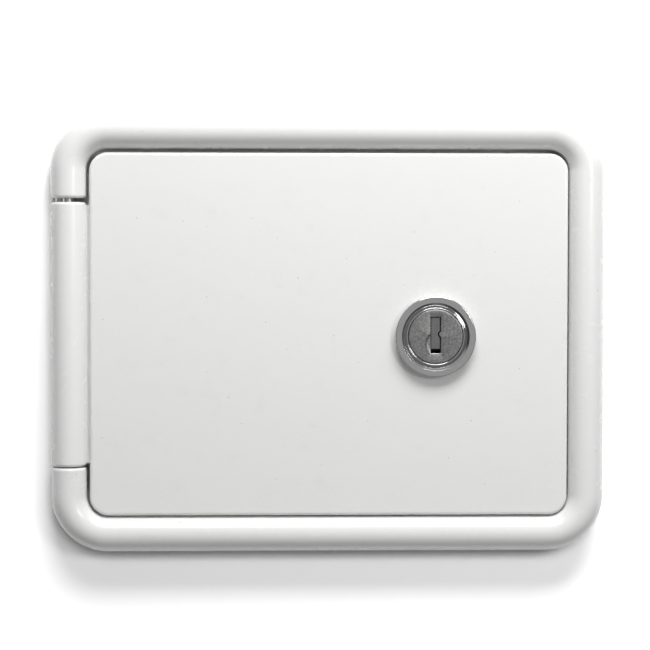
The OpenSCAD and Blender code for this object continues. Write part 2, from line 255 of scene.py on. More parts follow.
def endTree(tree, geometry, material):  # realizes, gives the material and ends the tree
    solid = tree.add("GeometryNodeRealizeInstances", None, {"Geometry": geometry})
    dressed = tree.add("GeometryNodeSetMaterial", None, {"Geometry": solid, "Material": material})
    tree.feed(tree.nodes.new("NodeGroupOutput").inputs["Geometry"], dressed)


def grow(name, group, **values):  # makes a piece by a geometry tree with the given inputs
    made = meshObject(name, [(0, 0, 0)], [])
    modifier = made.modifiers.new("Nodes", "NODES")
    modifier.node_group = group
    for item in group.interface.items_tree:
        if item.in_out == "INPUT" and item.name in values:
            modifier[item.identifier] = values[item.name]
    return bake(made)


# A tree that sweeps an outline round a rectangle with round corners, inwards from its edge

def makeSweepTree():
    group, tree, wires = geometryTree("borderSweep", {
        "Width": "Float", "Height": "Float", "Corner": "Float", "Steps": "Int",
        "Outline": "Object", "Material": "Material",
    })
    path = tree.add("GeometryNodeCurvePrimitiveQuadrilateral", {"mode": "RECTANGLE"},
                    {"Width": wires["Width"], "Height": wires["Height"]})
    path = tree.add("GeometryNodeFilletCurve", {"mode": "POLY"},
                    {"Curve": path, "Count": wires["Steps"], "Radius": wires["Corner"]})
    outline = tree.add("GeometryNodeObjectInfo", None, {"Object": wires["Outline"]}, output="Geometry")
    swept = tree.add("GeometryNodeCurveToMesh", None, {"Curve": path, "Profile Curve": outline})
    endTree(tree, swept, wires["Material"])
    return group


# A tree that sets copies of a rib in a row between two corners of the frame

def makeRibTree():
    group, tree, wires = geometryTree("ribRow", {
        "Count": "Int", "Start": "Vector", "Step": "Vector", "Turn": "Float",
        "Rib": "Object", "Material": "Material",
    })
    places = tree.add("GeometryNodeMeshLine", {"mode": "OFFSET"},
                      {"Count": wires["Count"], "Start Location": wires["Start"], "Offset": wires["Step"]})
    rib = tree.add("GeometryNodeObjectInfo", None, {"Object": wires["Rib"]}, output="Geometry")
    turn = tree.add("ShaderNodeCombineXYZ", None, {"Z": wires["Turn"]})
    row = tree.add("GeometryNodeInstanceOnPoints", None,
                   {"Points": places, "Instance": rib, "Rotation": turn})
    endTree(tree, row, wires["Material"])
    return group


# A tree that bends a grid into a threaded rod with two flats and closed ends

def makeThreadTree():
    group, tree, wires = geometryTree("threadedRod", {
        "Diameter": "Float", "Flats": "Float", "Pitch": "Float", "Depth": "Float", "Length": "Float",
        "Chamfer": "Float", "Around": "Int", "Rows": "Int", "Material": "Material",
    })
    grid = tree.add("GeometryNodeMeshGrid", None,
                    {"Size X": 1.0, "Size Y": 1.0, "Vertices X": wires["Around"],
                     "Vertices Y": wires["Rows"]})
    spot = tree.add("GeometryNodeInputPosition")
    parts = tree.nodes.new("ShaderNodeSeparateXYZ")
    tree.feed(parts.inputs[0], spot)
    around = Wire(tree, parts.outputs["X"]) + 0.5
    row = (Wire(tree, parts.outputs["Y"]) + 0.5) * (wires["Rows"] - 1)
    inner = tree.add("ShaderNodeClamp", None, {"Value": (row - 1) / (wires["Rows"] - 3)})
    height = inner * wires["Length"]
    wave = tree.add("ShaderNodeMath", {"operation": "PINGPONG"},
                    {0: height / wires["Pitch"] - around + 100, 1: 0.5})
    angle = around * (2 * pi)
    side = wave.math("ABSOLUTE", wave.math("SINE", angle))
    flat = wires["Flats"] / 2 / side.math("MAXIMUM", side, 0.01)
    end = height.math("MINIMUM", height, wires["Length"] - height)
    crest = wires["Diameter"] / 2 - wave * 2 * wires["Depth"]
    crest = crest - crest.math("MAXIMUM", wires["Chamfer"] - end, 0.0)
    radius = crest.math("MINIMUM", crest, flat)
    inside = (row > 0.5) * (row < wires["Rows"] - 1.5)
    radius = radius * inside
    point = tree.add("ShaderNodeCombineXYZ", None,
                     {"X": radius * wave.math("COSINE", angle), "Y": radius * wave.math("SINE", angle),
                      "Z": height})
    bent = tree.add("GeometryNodeSetPosition", None, {"Geometry": grid, "Position": point})
    closed = tree.add("GeometryNodeMergeByDistance", None, {"Geometry": bent, "Distance": 0.0005})
    endTree(tree, closed, wires["Material"])
    return group


sweepTree = makeSweepTree()
ribTree = makeRibTree()
threadTree = makeThreadTree()


def sweepBorder(name, w, h, r, outline, steps=20):
    carried = profileCurve(outline)
    made = grow(name, sweepTree, Width=w, Height=h, Corner=r, Steps=steps, Outline=carried)
    bpy.data.objects.remove(carried)
    return tidyShell(made)


# Frame

frameSizes = {
    "rimWidth": 9.8, "rimAxis": 6.5, "corner": 15.7, "wall": 2.0, "foot": 0.3,
    "ribPitch": 20.0, "ribThickness": 1.5,
    "floor": 2.4, "gutter": 7.6, "throatWall": 1.6, "throatCorner": 4.0, "lipHeight": 4.2, "lipRound": 0.45,
    "fillet": 0.7, "screwHole": 4.0, "screwSink": 7.0, "screwSpan": 100.0,
    "notchInset": 23.4, "seat": 6.0, "pin": 3.0, "webInset": 1.1, "web": 1.3, "endRound": 0.8,
    "strikeDepth": 8.0, "strikeReach": 4.5, "strikeWidth": 16.0, "strikeRoot": 5.0, "strikeEdge": 1.8,
}


def domeRing(r, steps=40):  # a half-round section that stands on the wall, from foot to foot
    return [(-r, 0)] + arc(0, frameSizes["rimAxis"], r, 180, 0, steps) + [(r, 0)]


def shifted(points, dx, dy=0.0):
    return [(x + dx, y + dy) for x, y in points]


def makeFrame():
    s = frameSizes
    low, high = planBox("frame_moulding")
    w, h, back = high.x - low.x, high.y - low.y, low.z
    r = s["rimWidth"] / 2
    axis = r - w / 2
    throatEdge = s["rimWidth"] + s["gutter"]
    lipW, lipH, lipR = w - 2 * throatEdge, h - 2 * throatEdge, s["throatCorner"] + s["throatWall"]
    stubEnd = h / 2 - s["notchInset"]
    seatEnd = stubEnd + s["seat"]

    # Half-round rim, hollow behind
    dome = domeRing(r)
    outer = [(dome[0][0] + s["foot"], 0), (dome[0][0], s["foot"])] + dome[1:-1]
    outer += [(dome[-1][0], s["foot"]), (dome[-1][0] - s["foot"], 0)]
    hollow = domeRing(r - s["wall"], 24)[::-1]
    body = sweepBorder("frame", w, h, s["corner"], shifted(outer + hollow, r), steps=28)
    cutAway(body, block("gap", (-w / 2 - 1, -seatEnd, -1), (s["rimWidth"] + 0.01 - w / 2, seatEnd, 20)))

    # Rounded ends beside the barrel
    for side in (1, -1):
        rings = []
        for x, y in arc(r - s["endRound"], s["endRound"], s["endRound"], -90, 0, 8) + [(r, s["seat"] + 0.2)]:
            rings.append([(axis + px, side * (stubEnd + y), pz) for px, pz in domeRing(x)])
        combine(body, loft("stub", rings))

    # Ribs across the hollow
    rib = loft("rib", [[(px, y, pz) for px, pz in domeRing(r - s["wall"] / 2, 24)]
                       for y in (-s["ribThickness"] / 2, s["ribThickness"] / 2)])
    for turn, run, edge in ((0, h, w), (90, w, h), (-90, w, h)):
        run -= 2 * s["corner"]
        bays = int(run / s["ribPitch"])
        spin = Matrix.Rotation(radians(turn), 4, "Z")
        row = grow("ribs", ribTree, Count=bays + 1, Start=spin @ Vector((edge / 2 - r, -run / 2, 0)),
                   Step=spin @ Vector((0, run / bays, 0)), Turn=radians(turn), Rib=rib)
        combine(body, tidyShell(row))
    bpy.data.objects.remove(rib)

    # Web behind the barrel, gutter floor and throat
    webLow = (s["webInset"] - w / 2, -stubEnd - 0.5, 0)
    webHigh = (s["rimWidth"] + 0.2 - w / 2, stubEnd + 0.5, s["web"])
    combine(body, block("web", webLow, webHigh))
    inset = s["rimWidth"] - s["wall"] / 2
    floorRings = [roundedRing(w - 2 * inset, h - 2 * inset, s["corner"] - inset, z) for z in (0, s["floor"])]
    combine(body, loft("floor", floorRings))
    f, t, e = s["fillet"], s["throatWall"], s["lipRound"]
    wall = [(t, back + e)] + arc(t - e, s["lipHeight"] - e, e, 0, 90) + arc(e, s["lipHeight"] - e, e, 90, 180)
    wall += arc(-f, s["floor"] + f, f, 0, -90) + [(-f, 0.4), (0, 0.4), (0, back + e)]
    wall += arc(e, back + e, e, 180, 270) + arc(t - e, back + e, e, 270, 360)[:-1]
    throat = sweepBorder("throat", lipW, lipH, lipR, wall)
    innerW, innerH = lipW - 2 * t, lipH - 2 * t
    hole = [roundedRing(innerW + 0.4, innerH + 0.4, s["throatCorner"] + 0.2, z) for z in (-1, s["floor"] + 1)]
    cutAway(body, loft("hole", hole))
    combine(body, throat)

    # Fillet where the gutter meets the rim
    corner = [(-0.3, s["floor"] - 0.3), (f, s["floor"] - 0.3)] + arc(f, s["floor"] + f, f, 270, 180)
    corner += [(-0.3, s["floor"] + f)]
    rim = s["rimWidth"]
    fillet = sweepBorder("fillet", w - 2 * rim, h - 2 * rim, s["corner"] - rim, corner)
    cutAway(fillet, block("gap", (-w / 2, -stubEnd, -1), (2 * s["rimWidth"] - w / 2, stubEnd, 20)))
    combine(body, fillet)

    # Strike for the cam
    lockY = planBox("lock_plug")
    lockY = (lockY[0].y + lockY[1].y) / 2
    edge = innerW / 2 - s["strikeReach"]
    strike = [(edge, -s["strikeDepth"]), (innerW / 2 + t / 2, -s["strikeDepth"]),
              (innerW / 2 + t / 2, s["strikeRoot"] - s["strikeDepth"]),
              (innerW / 2, s["strikeRoot"] - s["strikeDepth"]), (edge, s["strikeEdge"] - s["strikeDepth"])]
    ends = (lockY - s["strikeWidth"] / 2, lockY + s["strikeWidth"] / 2)
    combine(body, loft("strike", [[(x, y, z) for x, z in strike] for y in ends]))

    # Screw holes and the pins' seats
    sink = (s["screwSink"] - s["screwHole"]) / 2
    outline = [(0, -1), (s["screwHole"] / 2, -1), (s["screwHole"] / 2, s["floor"] - sink),
               (s["screwSink"] / 2 + 0.5, s["floor"] + 0.5), (0, s["floor"] + 0.5)]
    rise = h / 2 - s["rimWidth"] - s["gutter"] / 2
    for x in (-s["screwSpan"] / 2, s["screwSpan"] / 2):
        for y in (-rise, rise):
            cutAway(body, place(lathe("drill", outline, 40), Matrix.Translation((x, y, 0))))
    for side in (1, -1):
        pinR = s["pin"] / 2
        bore = lathe("bore", [(0, stubEnd - 1), (pinR, stubEnd - 1), (pinR, seatEnd), (0, seatEnd)], 40)
        turn = Matrix.Translation((axis, 0, s["rimAxis"])) @ Matrix.Rotation(-side * pi / 2, 4, "X")
        cutAway(body, place(bore, turn))
    return body


# Door

doorSizes = {
    "gap": 0.7, "faceHeight": 9.3, "faceThickness": 3.0, "edgeRound": 0.9,
    "skirt": 1.8, "skirtDepth": 3.0, "skirtInset": 0.5, "ribRoot": 1.5, "ribTip": 1.1, "ribDepth": 2.5,
    "longRib": 19.0, "ribGap": 3.5, "bossRim": 4.0, "bossDepth": 4.0, "holeFit": 0.1,
    "barrelPlay": 0.75, "groove": 1.8, "boreDepth": 6.65, "boreFit": 0.05,
}
lockSizes = {
    "body": 19.0, "flats": 16.0, "pitch": 1.0, "threadDepth": 0.45,
    "ring": 22.2, "ringRound": 0.3, "band": 1.5, "dish": 1.15, "lip": 0.22, "lipRise": 0.4,
    "plugFace": 15.1, "plugFit": 0.05, "chamfer": 0.3, "recess": 0.4, "headThickness": 3.0,
    "plug": 12.0, "tail": 7.0,
    "slotWidth": 2.8, "slotHeight": 10.0, "slotRise": 0.4, "slotDepth": 14.0, "ward": 0.5,
    "slotWear": 0.2,
    "scoopWidth": 3.0, "scoopHeight": 5.2, "scoopDepth": 0.4, "scoopX": -1.3, "scoopY": -1.9,
    "camWidth": 12.0, "camHub": 16.0, "camTip": 2.5, "screw": 5.0, "screwFlats": 8.0, "screwHead": 3.5,
}


def lockAxis():  # the lock's place on the drawing, from its nut
    low, high = planBox("lock_nut")
    return (low.x + high.x) / 2, (low.y + high.y) / 2


lockX, lockY = lockAxis()
atLock = Matrix.Translation((lockX, lockY, 0))


def flattedRing(d, flats, z, steps=24):  # a circle cut by two level flats
    reach = radians(90) - asin(flats / d)
    half = degrees(pi / 2 - reach)
    right = arc(0, 0, d / 2, -half, half, steps)
    left = arc(0, 0, d / 2, 180 - half, 180 + half, steps)
    return [(x, y, z) for x, y in right + left]


def makeDoor():
    s = doorSizes
    f = frameSizes
    low, high = planBox("door")
    frameLow, frameHigh = planBox("frame_moulding")
    w = frameHigh.x - frameLow.x - 2 * (f["rimWidth"] + s["gap"])
    h = high.y - low.y
    r = f["corner"] - f["rimWidth"] - s["gap"]
    toDoor = Matrix.Translation((high.x - w / 2, (high.y + low.y) / 2, 0))
    back = s["faceHeight"] - s["faceThickness"]
    foot = back - s["skirtDepth"]
    e = s["edgeRound"]

    # Face with a round front edge
    edge = [(e - x, s["faceHeight"] - e + z) for x, z in arc(0, 0, e, 0, 90, 10)]
    steps = [(0.2, back), (0, back + 0.2)] + edge
    body = loft("door", [roundedRing(w - 2 * d, h - 2 * d, r - d, z, 20) for d, z in steps])

    # Skirt and the frame of ribs, with draft
    d, t = s["skirtInset"], s["skirt"]
    skirt = [(d, back + 0.5), (d + 0.15, foot + 0.3), (d + 0.45, foot), (d + t - 0.45, foot),
             (d + t - 0.15, foot + 0.3), (d + t, back + 0.5)]
    combine(body, sweepBorder("skirt", w, h, r, skirt))
    ribW = frameHigh.x - frameLow.x - 2 * (f["rimWidth"] + f["gutter"] + f["throatWall"] + s["ribGap"])
    ribH = frameHigh.y - frameLow.y - 2 * (f["rimWidth"] + f["gutter"] + f["throatWall"] + s["ribGap"])
    root, tip, crest = s["ribRoot"], s["ribTip"], back - s["ribDepth"]
    side = (root - tip) / 2
    rib = [(0, back + 0.5), (side, crest + 0.2), (side + 0.2, crest), (root - side - 0.2, crest),
           (root - side, crest + 0.2), (root, back + 0.5)]
    combine(body, sweepBorder("ribs", ribW, ribH, f["throatCorner"], rib))
    bars = [(0, y, 0, ribW - root) for y in (-s["longRib"], s["longRib"])]
    bars += [(x, 0, 90, ribH - root) for x in (-ribW / 4, 0)]
    for x, y, turn, run in bars:
        rings = [[(px, py - root / 2, pz) for py, pz in rib] for px in (-run / 2, run / 2)]
        spot = Matrix.Translation((x, y, 0)) @ Matrix.Rotation(radians(turn), 4, "Z")
        bar = place(loft("bar", rings), spot)
        combine(body, bar)

    # Boss round the lock's hole
    bossR = lockSizes["body"] / 2 + s["bossRim"]
    bossBack = back - s["bossDepth"]
    boss = [(0, bossBack)] + arc(bossR - 0.4, bossBack + 0.4, 0.4, -90, 0)
    boss += arc(bossR + 0.8, back - 0.8, 0.8, 180, 90) + [(bossR + 0.8, back + 0.5), (0, back + 0.5)]
    place(body, toDoor)
    combine(body, place(lathe("boss", boss), atLock))

    # Arm and barrel of the hinge
    half = (frameHigh.y - f["notchInset"]) - s["barrelPlay"]
    radius = f["rimWidth"] / 2
    middle = (high.y + low.y) / 2
    shift = high.x - w / 2
    axis = radius - (frameHigh.x - frameLow.x) / 2
    inner = shift - w / 2 + s["skirtInset"] + s["skirt"]
    armHalf = half - f["endRound"]
    armTop = s["faceHeight"] - s["groove"]
    arm = block("arm", (axis, middle - armHalf, foot), (inner, middle + armHalf, armTop))
    combine(body, arm)
    end = arc(radius - f["endRound"], half - f["endRound"], f["endRound"], 0, 90)
    start = [(x, -y) for x, y in end[::-1]]
    barrel = lathe("barrel", [(0, -half)] + start + end + [(0, half)], 128)
    toAxis = Matrix.Translation((axis, middle, f["rimAxis"])) @ Matrix.Rotation(-pi / 2, 4, "X")
    combine(body, place(barrel, toAxis))

    # Bores for the pins and the hole for the lock's body
    boreR = f["pin"] / 2 + s["boreFit"]
    for turn in (0, pi):
        seat = half - s["boreDepth"]
        bore = lathe("bore", [(0, seat), (boreR, seat), (boreR, half - 0.25),
                              (boreR + 0.4, half + 0.15), (boreR + 0.4, half + 1), (0, half + 1)], 40)
        cutAway(body, place(bore, toAxis @ Matrix.Rotation(turn, 4, "X")))
    grown = 2 * s["holeFit"]
    across, flats = lockSizes["body"] + grown, lockSizes["flats"] + grown
    hole = [flattedRing(across, flats, z) for z in (bossBack - 1, s["faceHeight"] + 1)]
    cutAway(body, place(loft("hole", hole), atLock))
    return body


# Rubber seal that straddles the throat's lip

sealSizes = {"leg": 0.8, "fit": 0.05, "footGap": 0.3, "top": 6.25, "finReach": 0.25, "crown": 0.5}


def makeSeal():
    s, f = sealSizes, frameSizes
    low, high = planBox("door_seal")
    t, fit, leg = f["throatWall"], s["fit"], s["leg"]
    w, h = high.x - low.x, high.y - low.y
    foot = f["floor"] + s["footGap"]
    width = t + 2 * (leg + fit)
    slot = [(leg, f["lipHeight"]), (leg, foot + 0.15), (leg - 0.15, foot), (0.35, foot)]
    fins = []
    for z in (foot + 0.35, foot + 1.25, foot + 2.15):
        fins += [(s["finReach"], z - 0.3), (0, z), (s["finReach"], z + 0.12)]
    crownR = width / 2 - s["finReach"]
    crown = [(width / 2 - x, z) for x, z in
             [(crownR * cos(radians(a)), s["top"] - s["crown"] * (1 - sin(radians(a))))
              for a in range(0, 91, 10)]]
    left = slot + fins + crown
    right = [(width - x, z) for x, z in left[::-1]]
    return sweepBorder("seal", w, h, f["throatCorner"] + t + leg + fit, left + right[1:], 16)


# Chromed ring and threaded body of the lock

def makeHousing():
    s = lockSizes
    low, high = planBox("lock_housing")
    face = doorSizes["faceHeight"]
    top, ringR = high.z, s["ring"] / 2
    mouth = s["plugFace"] / 2 + s["plugFit"]
    dishR = ringR - s["ringRound"] - s["band"]
    lipX = mouth + s["lip"]
    trough = top - s["dish"]
    outline = [(0, face), (ringR - 0.12, face), (ringR, face + 0.12)]
    outline += arc(ringR - s["ringRound"], top - s["ringRound"], s["ringRound"], 0, 90, 10)
    outline += arc(dishR + 0.06, top - 0.06, 0.06, 90, 150, 4)
    outline += [(lipX + s["lip"] + 0.12, trough)]
    outline += arc(lipX, trough + s["lipRise"], s["lip"], 0, 180, 14) + [(mouth - 0.5, trough), (0, trough)]
    body = lathe("housing", outline, 160)
    length = face - low.z + 0.2
    rod = grow("rod", threadTree, Diameter=s["body"], Flats=s["flats"], Pitch=s["pitch"],
               Depth=s["threadDepth"], Length=length, Chamfer=0.6, Around=145, Rows=150)
    combine(body, place(tidyShell(rod), Matrix.Translation((0, 0, low.z))))
    seat = top - s["recess"] - s["headThickness"] - 0.05
    bore = s["plug"] / 2 + s["plugFit"]
    cut = [(0, low.z - 1), (bore + 0.3, low.z - 1), (bore + 0.3, low.z), (bore, low.z + 0.3), (bore, seat),
           (mouth, seat), (mouth, top + 1), (0, top + 1)]
    cutAway(body, lathe("bore", cut, 160))
    return place(body, atLock)


def makeNut():
    s = lockSizes
    low, high = planBox("lock_nut")
    reach = (high.x - low.x) / 2
    flat = reach * cos(pi / 6)
    hexRing = [(reach * cos(pi * k / 3), reach * sin(pi * k / 3)) for k in range(6)]
    nut = loft("nut", [[(x, y, z) for x, y in hexRing] for z in (low.z, high.z)])
    drop = (reach - flat) * 0.58
    turned = [(0, low.z), (flat - 0.2, low.z), (reach + 0.3, low.z + drop), (reach + 0.3, high.z - drop),
              (flat - 0.2, high.z), (0, high.z)]
    combine(nut, lathe("turned", turned, 96), "INTERSECT")
    bore = s["body"] / 2 + 0.05
    cut = [(0, low.z - 1), (bore + 0.4, low.z - 1), (bore + 0.4, low.z), (bore, low.z + 0.4),
           (bore, high.z - 0.4), (bore + 0.4, high.z), (bore + 0.4, high.z + 1), (0, high.z + 1)]
    return place(cutAway(nut, lathe("bore", cut, 128)), atLock)


def makePlug():
    s = lockSizes
    low, high = planBox("lock_plug")
    r, c = s["plugFace"] / 2, s["chamfer"]
    tail = planBox("lock_cam")[1].z
    headBack = high.z - s["headThickness"]
    outline = [(0, tail), (s["plug"] / 2, tail), (s["plug"] / 2, headBack), (r, headBack), (r, high.z - c)]
    outline += arc(r - c, high.z - c, c, 0, 60, 4) + [(r - c - 0.15, high.z), (0, high.z)]
    plug = lathe("plug", outline, 128)
    half = s["tail"] / 2
    combine(plug, block("tail", (-half, -half, low.z), (half, half, tail + 0.3)))
    a, b, d = s["slotWidth"] / 2, s["slotHeight"] / 2, s["ward"]
    slot = [(-a, -b), (a, -b), (a, -d), (a - d, 0), (a - d, d), (a, 2 * d), (a, b), (-a, b)]
    ends = (high.z - s["slotDepth"], high.z + 1)
    cut = loft("slot", [[(x, y + s["slotRise"], z) for x, y in slot] for z in ends])
    cutAway(plug, cut)
    worn = s["slotWear"]
    mouth = [(x + worn * (1 if x > 0 else -1), y + worn * (1 if y > d else -1 if y < -d else 0))
             for x, y in slot]
    rings = [(slot, high.z - worn / 2), (mouth, high.z + 0.01), (mouth, high.z + 1)]
    cutAway(plug, loft("wear", [[(x, y + s["slotRise"], z) for x, y in ring] for ring, z in rings]))
    ball = [(cos(radians(t)), sin(radians(t))) for t in range(-90, 91, 6)]
    scoop = lathe("scoop", ball, 64)
    sizes = Vector((s["scoopWidth"] / 2, s["scoopHeight"] / 2, s["scoopDepth"]))
    shape = Matrix.Translation((s["scoopX"], s["scoopY"], high.z)) @ Matrix.Diagonal(sizes).to_4x4()
    cutAway(plug, place(scoop, shape))
    bore = s["screw"] / 2 + 0.05
    hole = [(0, low.z - 1), (bore + 0.2, low.z - 1), (bore + 0.2, low.z), (bore, low.z + 0.2),
            (bore, low.z + 8.5), (0, low.z + 8.5)]
    cutAway(plug, lathe("hole", hole, 48))
    return place(plug, atLock)


def makeShutter():
    s = lockSizes
    low, high = planBox("key_shutter")
    w, d = (high.x - low.x) / 2, s["ward"] + 0.1
    bottom, top = low.y - lockY, high.y - lockY
    rise = s["slotRise"]
    outline = [(-w, bottom), (w, bottom), (w, rise - d), (w - d, rise), (w - d, rise + d),
               (w, rise + 2 * d), (w, top), (-w, top)]
    flap = loft("shutter", [[(x, y, z) for x, y in outline] for z in (low.z, high.z)])
    soften(flap, 0.12)
    return place(flap, atLock)


def makeCam():
    s = lockSizes
    low, high = planBox("lock_cam")
    a, r, tip, length = s["camWidth"] / 2, s["camHub"] / 2, s["camTip"], high.y - lockY
    side = degrees(atan2((r * r - a * a) ** 0.5, a))
    outline = arc(a - tip, length - tip, tip, 0, 90) + arc(tip - a, length - tip, tip, 90, 180)
    outline += arc(0, 0, r, 180 - side, 360 + side, 48)
    cam = loft("cam", [[(x, y, z) for x, y in outline] for z in (low.z, high.z)])
    hole = s["tail"] / 2 + 0.05
    cutAway(cam, block("square", (-hole, -hole, low.z - 1), (hole, hole, high.z + 1)))
    soften(cam, 0.18)
    return place(cam, atLock)


def makeCamScrew():
    s = lockSizes
    low, high = planBox("cam_screw")
    reach = s["screwFlats"] / 2 / cos(pi / 6)
    top = low.z + s["screwHead"]
    hexRing = [(reach * cos(pi * k / 3), reach * sin(pi * k / 3)) for k in range(6)]
    head = loft("screw", [[(x, y, z) for x, y in hexRing] for z in (low.z, top)])
    turned = [(0, low.z), (s["screwFlats"] / 2 - 0.2, low.z), (reach + 0.1, low.z + 0.55),
              (reach + 0.1, top), (0, top)]
    combine(head, lathe("turned", turned, 64), "INTERSECT")
    rod = grow("rod", threadTree, Diameter=s["screw"], Flats=2 * s["screw"], Pitch=0.8, Depth=0.4,
               Length=high.z - top + 0.2, Chamfer=0.5, Around=49, Rows=70)
    combine(head, place(tidyShell(rod), Matrix.Translation((0, 0, top - 0.2))))
    return place(head, atLock)


def makePin(node):
    low, high = planBox(node)
    r, half = frameSizes["pin"] / 2, (high.y - low.y) / 2
    outline = [(0, -half), (r - 0.25, -half), (r, 0.25 - half), (r, half - 0.25), (r - 0.25, half),
               (0, half)]
    pin = lathe("pin", outline, 48)
    middle = (low + high) / 2
    return place(pin, Matrix.Translation(middle) @ Matrix.Rotation(-pi / 2, 4, "X"))


# Materials, in millimetres on Object coordinates

def newMaterial(name, **constants):
    made = bpy.data.materials.new(name)
    made.use_nodes = True
    tree = Tree(made.node_tree)
    shader = tree.nodes["Principled BSDF"]
    for socket, value in constants.items():
        shader.inputs[socket.replace("_", " ")].default_value = value
    place = tree.add("ShaderNodeTexCoord", None, None, output="Object")
    spot = tree.add("ShaderNodeVectorMath", {"operation": "SCALE"}, {0: place, "Scale": 1000.0})
    return made, tree, shader.inputs, spot


def stretched(tree, spot, sizes):
    return tree.add("ShaderNodeVectorMath", {"operation": "MULTIPLY"}, {0: spot, 1: sizes})


def relief(tree, height, distance, normal=None):  # bump of a height from 0 to 1, distance in millimetres
    values = {"Strength": 1.0, "Distance": distance / 1000, "Height": height}
    if normal:
        values["Normal"] = normal
    return tree.add("ShaderNodeBump", None, values, output="Normal")


def specks(tree, spot, cell, size, share):  # 1 on small scattered spots, 0 elsewhere
    values = {"Vector": spot, "Scale": 1 / cell, "Randomness": 1.0}
    away = tree.add("ShaderNodeTexVoronoi", None, values, output="Distance")
    tint = tree.add("ShaderNodeTexVoronoi", None, values, output="Color")
    lot = tree.add("ShaderNodeSeparateColor", None, {"Color": tint}, output="Red")
    return (away < size / cell) * (lot < share)


def makePlastic(name, light, shade, seed):
    made, tree, sockets, spot = newMaterial(name, IOR=1.5)
    moved = tree.add("ShaderNodeVectorMath", {"operation": "ADD"}, {0: spot, 1: (seed, seed, seed)})
    cloud = tree.noise(moved, 0.035, 3.0)
    flow = tree.noise(stretched(tree, moved, (0.02, 0.05, 0.14)), 1.0, 2.0)
    dust = specks(tree, moved, 3.2, 0.16, 0.35)
    grime = tree.add("ShaderNodeMapRange", None,
                     {"Value": tree.noise(moved, 0.3, 4.0), "From Min": 0.58, "From Max": 0.75})
    tone = tree.mixColor(cloud * 0.6 + flow * 0.4, light, shade)
    tone = tree.mixColor(grime * 0.12, tone, (0.62, 0.6, 0.55, 1))
    tree.feed(sockets["Base Color"], tree.mixColor(dust * 0.55, tone, (0.28, 0.27, 0.25, 1)))
    grain = tree.noise(moved, 6.0, 2.0)
    tree.feed(sockets["Roughness"], 0.16 + tree.noise(moved, 0.12, 3.0) * 0.1 + grain * 0.05 + grime * 0.15)
    peel = relief(tree, tree.noise(moved, 0.45, 1.0), 0.012)
    tree.feed(sockets["Normal"], relief(tree, grain, 0.0015, peel))
    return made


def makeChrome():
    made, tree, sockets, spot = newMaterial("polishedChrome", Metallic=1.0)
    haze = tree.noise(spot, 0.9, 3.0)
    scratch = tree.noise(stretched(tree, spot, (9.0, 1.0, 1.2)), 1.0, 2.0)
    dust = specks(tree, spot, 1.3, 0.07, 0.3)
    tone = tree.mixColor(haze, (0.56, 0.56, 0.565, 1), (0.62, 0.62, 0.62, 1))
    tree.feed(sockets["Base Color"], tree.mixColor(dust * 0.6, tone, (0.3, 0.29, 0.27, 1)))
    tree.feed(sockets["Roughness"], 0.05 + haze * 0.06 + dust * 0.4)
    tree.feed(sockets["Normal"], relief(tree, scratch, 0.0004))
    return made


def makeSatin():
    made, tree, sockets, spot = newMaterial("satinPlug", Metallic=1.0)
    grain = tree.add("ShaderNodeMapRange", None,
                     {"Value": tree.noise(spot, 2.4, 4.0, 0.7), "From Min": 0.3, "From Max": 0.7})
    cloud = tree.noise(spot, 0.5, 2.0)
    tone = tree.mixColor(grain, (0.14, 0.14, 0.14, 1), (0.38, 0.38, 0.375, 1))
    tree.feed(sockets["Base Color"], tone)
    tree.feed(sockets["Roughness"], 0.34 + cloud * 0.1)
    tree.feed(sockets["Normal"], relief(tree, grain, 0.02))
    return made


def makeZinc():
    made, tree, sockets, spot = newMaterial("platedZinc", Metallic=1.0)
    crystal = tree.noise(spot, 1.1, 4.0, 0.6)
    cloud = tree.noise(spot, 0.18, 2.0)
    tone = tree.mixColor(cloud, (0.6, 0.61, 0.63, 1), (0.66, 0.63, 0.56, 1))
    tree.feed(sockets["Base Color"], tree.mixColor(crystal * 0.4, tone, (0.45, 0.45, 0.46, 1)))
    tree.feed(sockets["Roughness"], 0.26 + crystal * 0.22)
    tree.feed(sockets["Normal"], relief(tree, crystal, 0.006))
    return made


def makePinSteel():
    made, tree, sockets, spot = newMaterial("drawnSteel", Metallic=1.0)
    lines = tree.noise(stretched(tree, spot, (8.0, 8.0, 0.25)), 1.0, 3.0)
    tree.feed(sockets["Base Color"], tree.mixColor(lines, (0.5, 0.5, 0.5, 1), (0.68, 0.67, 0.65, 1)))
    tree.feed(sockets["Roughness"], 0.22 + lines * 0.2)
    tree.feed(sockets["Normal"], relief(tree, lines, 0.003))
    return made


def makeShutterSteel():
    made, tree, sockets, spot = newMaterial("shutterSteel", Metallic=1.0)
    lines = tree.noise(stretched(tree, spot, (7.0, 7.0, 0.8)), 1.0, 3.0)
    tree.feed(sockets["Base Color"], tree.mixColor(lines, (0.16, 0.16, 0.16, 1), (0.28, 0.28, 0.28, 1)))
    tree.feed(sockets["Roughness"], 0.3 + lines * 0.15)
    tree.feed(sockets["Normal"], relief(tree, lines, 0.002))
    return made


def makeRubber():
    made, tree, sockets, spot = newMaterial("sealRubber", IOR=1.5)
    bloom = tree.noise(spot, 0.25, 4.0, 0.6)
    grain = tree.noise(spot, 3.5, 2.0)
    dust = specks(tree, spot, 1.6, 0.12, 0.5)
    tone = tree.mixColor(bloom, (0.018, 0.018, 0.019, 1), (0.05, 0.05, 0.05, 1))
    tree.feed(sockets["Base Color"], tree.mixColor(dust * 0.6, tone, (0.22, 0.21, 0.2, 1)))
    tree.feed(sockets["Roughness"], 0.5 + bloom * 0.25)
    tree.feed(sockets["Normal"], relief(tree, grain, 0.012))
    return made


